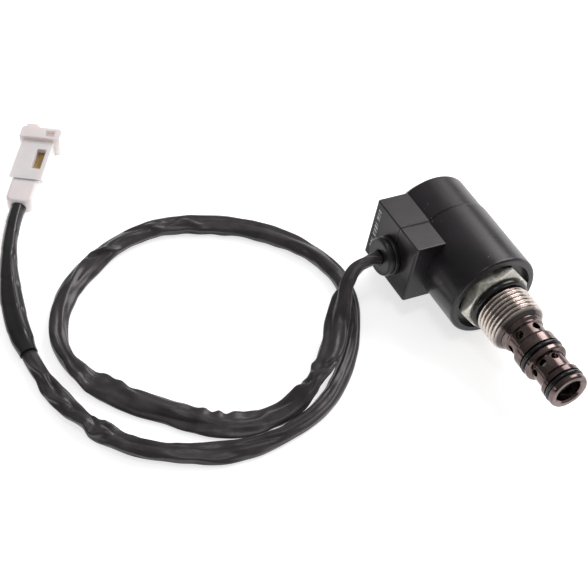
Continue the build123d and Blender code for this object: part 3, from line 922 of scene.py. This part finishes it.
def body_shape(x, angle, r):
    """Hex head and thread of the valve body, from its plain outline."""
    if x <= 0.01:
        if r <= UNDERCUT_R + 0.3:
            return r
        hexagon = hex_radius(angle, HEX_FLATS, HEX_TURN)
        return min(r, hexagon, chamfered(x, HEX_BACK, 0, HEX_FLATS, 1.0))
    if THREAD_START <= x <= BODY_END and r > UNDERCUT_R:
        cone = BODY_END_R + (BODY_END - x) * (THREAD_R - BODY_END_R) / (BODY_END - THREAD_END)
        return min(thread_radius(x, angle), cone, r)
    return r


def build_valve_body():
    """Hex head, seal undercut and helical manifold thread in one plated piece."""
    corner = hex_corner(HEX_FLATS) + 0.1
    hex_step, thread_step = 0.12, 0.09
    head = [HEX_BACK + 0.02 + k * hex_step for k in range(int(-HEX_BACK / hex_step))]
    outline = [(HEX_BACK, BODY_BORE), (HEX_BACK, 8.5), (HEX_BACK, 11), (HEX_BACK, corner)]
    outline += [(x, corner) for x in head if x < -0.03]
    outline += [(0.0, r) for r in (corner, 11.6, 10.6, UNDERCUT_R + 0.3, UNDERCUT_R)]
    outline += [(1.5, UNDERCUT_R), (2.7, UNDERCUT_R)]
    x = THREAD_START
    while x < BODY_END - thread_step / 2:
        outline.append((x, THREAD_R))
        x += thread_step
    outline += [(BODY_END, BODY_END_R), (BODY_END, 8.6), (BODY_END, SPIGOT_R)]
    outline += [(x, SPIGOT_R) for x in (12.0, 6.0, 1.0, -2.4)]
    outline += [(-2.5, SPIGOT_R), (-2.5, BODY_BORE), (-4.0, BODY_BORE)]
    return turned("valve_body_steel", outline, 240, body_shape, 38)


def build_coil_nut():
    """Plated hex nut at the far end."""
    low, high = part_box("coil_nut")
    back, front = low[0] / MM, high[0] / MM
    corner = hex_corner(NUT_FLATS) + 0.1
    step = 0.15
    lead_in = 0.5
    outline = [(back, NUT_BORE + lead_in), (back, 7.5), (back, corner)]
    outline += [(back + k * step, corner) for k in range(1, int((front - back) / step))]
    outline += [(front, corner), (front, 7.5), (front, NUT_BORE + lead_in)]
    outline += [(front - lead_in, NUT_BORE), (back + lead_in, NUT_BORE)]

    def shape(x, angle, r):
        """Hexagon and end chamfers outside the bore."""
        if r < 7.4:
            return r
        return min(r, hex_radius(angle, NUT_FLATS, NUT_TURN), chamfered(x, back, front, NUT_FLATS, 1.7))

    return turned("coil_nut_steel", outline, 180, shape, 38)


def build_pole_piece():
    """Fixed core with a bore for the spring, and its threaded stud. Its face clears the armature."""
    low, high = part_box("pole_piece")
    end, face = low[0] / MM, high[0] / MM - 0.05
    neck = COIL_BACK / MM - 0.2
    pocket = face - SPRING_POCKET
    outline = [(pocket, 0.02), (pocket, SPRING_POCKET_R), (face, SPRING_POCKET_R), (face, CORE_R)]
    outline += [(CORE_END, CORE_R), (CORE_END, COLLAR_R), (neck, COLLAR_R)]
    x = neck
    while x > end + 0.8:
        outline.append((x, STUD_R))
        x -= 0.1
    outline += [(end + 0.4, 5.5), (end, 5.1), (end, 2.5), (end, 0.02)]
    start = neck - 0.8

    def shape(x, angle, r):
        """Stud thread of 1 mm pitch."""
        if abs(r - STUD_R) > 0.01 or x > start:
            return r
        turn = (start - x + angle / (2 * math.pi)) % 1.0
        return r - 0.55 * (1 - abs(2 * turn - 1)) * smooth_step(0, 1, start - x)

    return turned("pole_piece_iron", outline, 120, shape, 38)


def build_return_spring():
    """Coil spring between the pole piece and the armature."""
    low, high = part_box("return_spring")
    start = low[0] + SPRING_WIRE * MM
    length = high[0] - low[0] - 2 * SPRING_WIRE * MM
    steps = 260
    rings = []
    for i in range(steps + 1):
        angle = 2 * math.pi * SPRING_TURNS * i / steps
        out = Vector((0, math.cos(angle), math.sin(angle)))
        centre = Vector((start + length * i / steps, 0, 0)) + out * SPRING_RADIUS * MM
        rings.append([
            centre + (out * math.cos(a) + Vector((1, 0, 0)) * math.sin(a)) * SPRING_WIRE * MM
            for a in angles(12)
        ])
    return skin_rings("return_spring_wire", rings, caps=True)


# ---- stage -----------------------------------------------------------------------------------

def add_area(name, place_at, aim, size, power, color=(1, 1, 1)):
    """Soft square light of a power in watts that points at a place."""
    data = bpy.data.lights.new(name, "AREA")
    data.size = size
    data.energy = power
    data.color = color
    lamp = bpy.data.objects.new(name, data)
    bpy.context.scene.collection.objects.link(lamp)
    lamp.location = place_at
    lamp.rotation_mode = "QUATERNION"
    lamp.rotation_quaternion = (Vector(aim) - Vector(place_at)).to_track_quat("-Z", "Y")


def surround():
    """White studio walls: bright overhead and on the key light's side, dim on the other."""
    world = bpy.data.worlds.new("surround")
    world.use_nodes = True
    nodes = world.node_tree.nodes
    links = world.node_tree.links
    towards_light = (-0.10, 0.62, 0.78)
    bright_side = nodes.new("ShaderNodeVectorMath")
    bright_side.operation = "DOT_PRODUCT"
    bright_side.inputs[1].default_value = towards_light
    links.new(nodes.new("ShaderNodeTexCoord").outputs["Generated"], bright_side.inputs[0])
    level = nodes.new("ShaderNodeMapRange")
    for socket, value in (("From Min", -0.5), ("From Max", 0.9), ("To Min", 0.07), ("To Max", 0.44)):
        level.inputs[socket].default_value = value
    links.new(bright_side.outputs["Value"], level.inputs["Value"])
    links.new(level.outputs["Result"], nodes["Background"].inputs["Color"])
    return world


def add_stage():
    """Pale floor, soft lights and the surround."""
    half = 6.0                              # metres from the middle to the edge
    floor = new_object(
        "floor",
        [(-half, -half, FLOOR_Z), (half, -half, FLOOR_Z), (half, half, FLOOR_Z), (-half, half, FLOOR_Z)],
        [(0, 1, 2, 3)],
    )
    floor.data.materials.append(floor_paper())
    bpy.context.scene.world = surround()
    aim = (-0.04, -0.05, FLOOR_Z)
    add_area("key", (-0.30, 0.90, 0.85), aim, 0.8, 11.0, (1.0, 0.95, 0.97))
    add_area("strip", (-0.2, -1.2, 0.30), aim, 0.16, 0.5)
    add_area("top", (0.1, -0.1, 1.3), aim, 0.3, 1.4)
    bpy.context.scene.view_settings.view_transform = "Standard"


# ---- build -----------------------------------------------------------------------------------

add_camera()
dress_nodes()
sleeve = use(build_sleeve(), MATERIALS["sleeve_pvc"], "coil", "sleeve_pvc", "cable_sleeve")
tape = use(build_tape(), MATERIALS["tape_pvc"], "coil", "sleeve_pvc")
use(build_gland(), MATERIALS["gland_rubber"], "coil", "gland_rubber", "cable_gland")
use(build_print(), MATERIALS["print_ink"], "coil", "coil_moulding")
use(build_valve_body(), MATERIALS["zinc_steel"], "cartridge", "zinc_steel", "valve_body")
use(build_coil_nut(), MATERIALS["zinc_steel"], "nut", "zinc_steel", "coil_nut")
use(build_pole_piece(), MATERIALS["soft_iron"], "cartridge", "soft_iron", "pole_piece")
for node in ("front_coil_shell", "rear_coil_shell"):
    bevelled(NODES[node], 0.2 * MM)
bevelled(NODES["connector_housing"], 0.12 * MM)
spring = use(
    build_return_spring(), MATERIALS["spring_steel"], "cartridge", "spring_steel", "return_spring",
)
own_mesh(spring)
add_stage()
